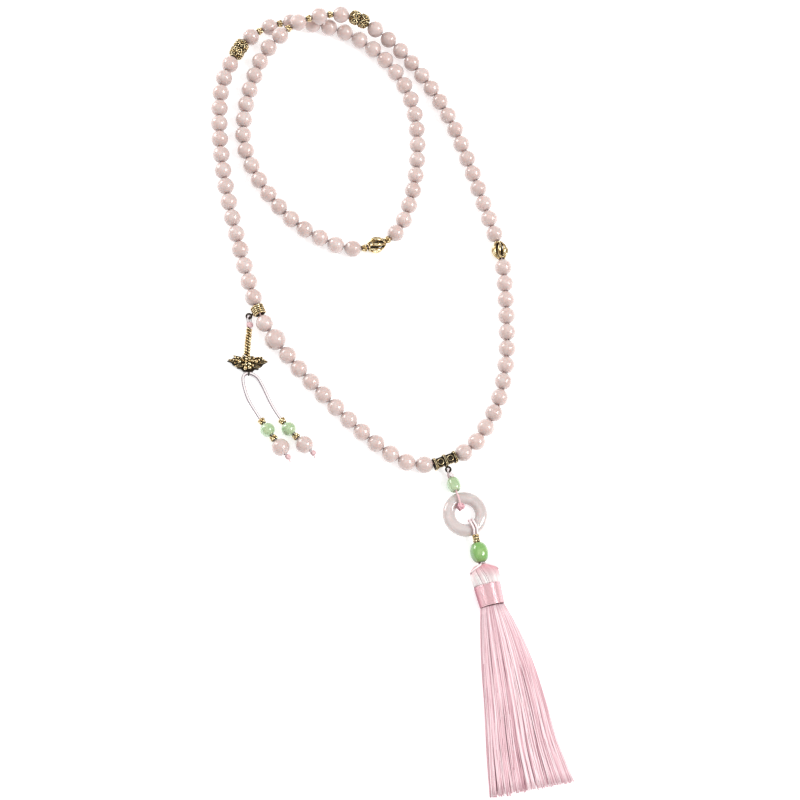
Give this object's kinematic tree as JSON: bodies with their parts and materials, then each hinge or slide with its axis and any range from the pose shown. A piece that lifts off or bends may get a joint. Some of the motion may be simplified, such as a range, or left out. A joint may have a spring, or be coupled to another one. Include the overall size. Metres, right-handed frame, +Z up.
{
  "type": "prayer beads",
  "caption": "Closed string of round stone prayer beads laid in two loops, with openwork metal spacers, a ring and tassel pendant and a two-cord counter.",
  "frame": {"origin": "on the surface that the beads lie on, under the middle of their box", "axes": "+X to the right and +Y away from the tassel as the beads lie, +Z up from the surface"},
  "size_m": [0.1646, 0.366, 0.0161],
  "materials": {
    "rose_quartz": "polished, milky and slightly translucent",
    "green_jade": "polished, translucent",
    "antique_gold": "cast, plated, with blackened recesses",
    "pink_cord": "waxed twisted cord",
    "silk_thread": "glossy artificial silk"
  },
  "bodies": {
    "strand": {"main_cord": "pink_cord", "beads_right_front": "rose_quartz", "beads_right_back": "rose_quartz", "beads_inner_left": "rose_quartz", "spacers_inner_left": "antique_gold", "spacers_inner_right": "antique_gold", "beads_inner_right": "rose_quartz", "beads_left_back": "rose_quartz", "beads_left_front": "rose_quartz"},
    "lantern_right": {"lantern_right": "antique_gold"},
    "lantern_inner": {"lantern_inner": "antique_gold"},
    "barrel_top": {"barrel_top": "antique_gold"},
    "barrel_left": {"barrel_left": "antique_gold"},
    "marker_bead": {"marker_bead": "rose_quartz"},
    "connector": {"connector": "antique_gold"},
    "pendant": {"pendant_knot": "pink_cord", "pendant_cord": "pink_cord", "ring_knot": "pink_cord"},
    "pale_bead": {"pale_green_bead": "green_jade"},
    "stone_ring": {"stone_ring": "rose_quartz"},
    "tassel": {"ring_ties": "pink_cord", "tassel_spacer": "antique_gold", "tassel_cord": "pink_cord", "tassel_knot": "pink_cord", "tassel_head": "silk_thread", "tassel_band": "silk_thread", "tassel_skirt": "silk_thread"},
    "green_bead": {"green_bead": "green_jade"},
    "counter_ring": {"coil_ring": "antique_gold"},
    "counter": {"counter_knot": "pink_cord", "counter_stem": "antique_gold", "counter_lotus": "antique_gold"},
    "left_arm": {"left_arm_cord": "pink_cord", "left_end_knot": "pink_cord"},
    "left_slider": {"left_arm_spacers": "antique_gold"},
    "left_green_bead": {"left_green_bead": "green_jade"},
    "left_pink_bead": {"left_pink_bead": "rose_quartz"},
    "right_arm": {"right_arm_cord": "pink_cord", "right_end_knot": "pink_cord", "right_arm_spacers": "antique_gold"},
    "right_green_bead": {"right_green_bead": "green_jade"},
    "right_pink_bead": {"right_pink_bead": "rose_quartz"}
  },
  "joints": [
    {"name": "lantern_right_spin", "type": "hinge", "parent": "strand", "child": "lantern_right", "pos_m": [0.05491, 0.0646, 0.004], "axis": [-0.2257, 0.9742, 0], "continuous": true},
    {"name": "lantern_inner_spin", "type": "hinge", "parent": "strand", "child": "lantern_inner", "pos_m": [-0.00369, 0.06363, 0.004], "axis": [0.9191, 0.3939, 0], "continuous": true},
    {"name": "barrel_top_spin", "type": "hinge", "parent": "strand", "child": "barrel_top", "pos_m": [-0.01341, 0.17819, 0.00993], "axis": [-0.9484, 0.2393, 0.2082], "continuous": true},
    {"name": "barrel_left_spin", "type": "hinge", "parent": "strand", "child": "barrel_left", "pos_m": [-0.07024, 0.16015, 0.004], "axis": [-0.4637, -0.886, 0], "continuous": true},
    {"name": "marker_bead_spin", "type": "hinge", "parent": "strand", "child": "marker_bead", "pos_m": [-0.04921, 0.01452, 0.0049], "axis": [0.6097, -0.7926, 0], "continuous": true},
    {"name": "pendant_lift", "type": "hinge", "parent": "strand", "child": "connector", "pos_m": [0.0277, -0.0384, 0.004], "axis": [-0.9238, -0.3829, 0], "range_deg": [0, 100]},
    {"name": "pendant_swing", "type": "hinge", "parent": "connector", "child": "pendant", "pos_m": [0.0293, -0.0422, 0.0036], "axis": [0, 0, 1], "range_deg": [-30, 30]},
    {"name": "pale_bead_spin", "type": "hinge", "parent": "pendant", "child": "pale_bead", "pos_m": [0.0317, -0.04915, 0.0039], "axis": [0.267, -0.9397, 0.2136], "continuous": true},
    {"name": "stone_ring_turn", "type": "hinge", "parent": "pendant", "child": "stone_ring", "pos_m": [0.0369, -0.06205, 0.00235], "axis": [0, 0, 1], "continuous": true},
    {"name": "tassel_swing", "type": "hinge", "parent": "pendant", "child": "tassel", "pos_m": [0.0406, -0.06834, 0.00235], "axis": [0, 0, 1], "range_deg": [-10, 20]},
    {"name": "green_bead_spin", "type": "hinge", "parent": "tassel", "child": "green_bead", "pos_m": [0.04258, -0.07945, 0.00453], "axis": [0.201, -0.9791, 0.031], "continuous": true},
    {"name": "counter_lift", "type": "hinge", "parent": "strand", "child": "counter_ring", "pos_m": [-0.05725, 0.02796, 0.00471], "axis": [-0.3964, 0.9177, -0.0252], "range_deg": [0, 100]},
    {"name": "counter_swing", "type": "hinge", "parent": "counter_ring", "child": "counter", "pos_m": [-0.0613, 0.0255, 0.0034], "axis": [0, 0, 1], "range_deg": [-40, 6]},
    {"name": "left_arm_swing", "type": "hinge", "parent": "counter", "child": "left_arm", "pos_m": [-0.0605, -0.00095, 0.0019], "axis": [0, 0, 1], "range_deg": [-15, 2]},
    {"name": "left_beads_slide", "type": "slide", "parent": "left_arm", "child": "left_slider", "axis": [-0.5768, 0.815, -0.0556], "range_m": [0, 0.0025]},
    {"name": "left_green_spin", "type": "hinge", "parent": "left_slider", "child": "left_green_bead", "pos_m": [-0.05148, -0.02717, 0.00366], "axis": [0.5768, -0.815, 0.0556], "continuous": true},
    {"name": "left_pink_spin", "type": "hinge", "parent": "left_slider", "child": "left_pink_bead", "pos_m": [-0.04556, -0.03508, 0.00413], "axis": [0.6063, -0.794, 0.0433], "continuous": true},
    {"name": "right_arm_swing", "type": "hinge", "parent": "counter", "child": "right_arm", "pos_m": [-0.0605, -0.00095, 0.0019], "axis": [0, 0, 1], "range_deg": [-2, 12]},
    {"name": "right_green_spin", "type": "hinge", "parent": "right_arm", "child": "right_green_bead", "pos_m": [-0.04217, -0.02646, 0.00375], "axis": [0.661, -0.748, 0.0599], "continuous": true},
    {"name": "right_pink_spin", "type": "hinge", "parent": "right_arm", "child": "right_pink_bead", "pos_m": [-0.03513, -0.03341, 0.00415], "axis": [0.7244, -0.6885, 0.0359], "continuous": true}
  ]
}
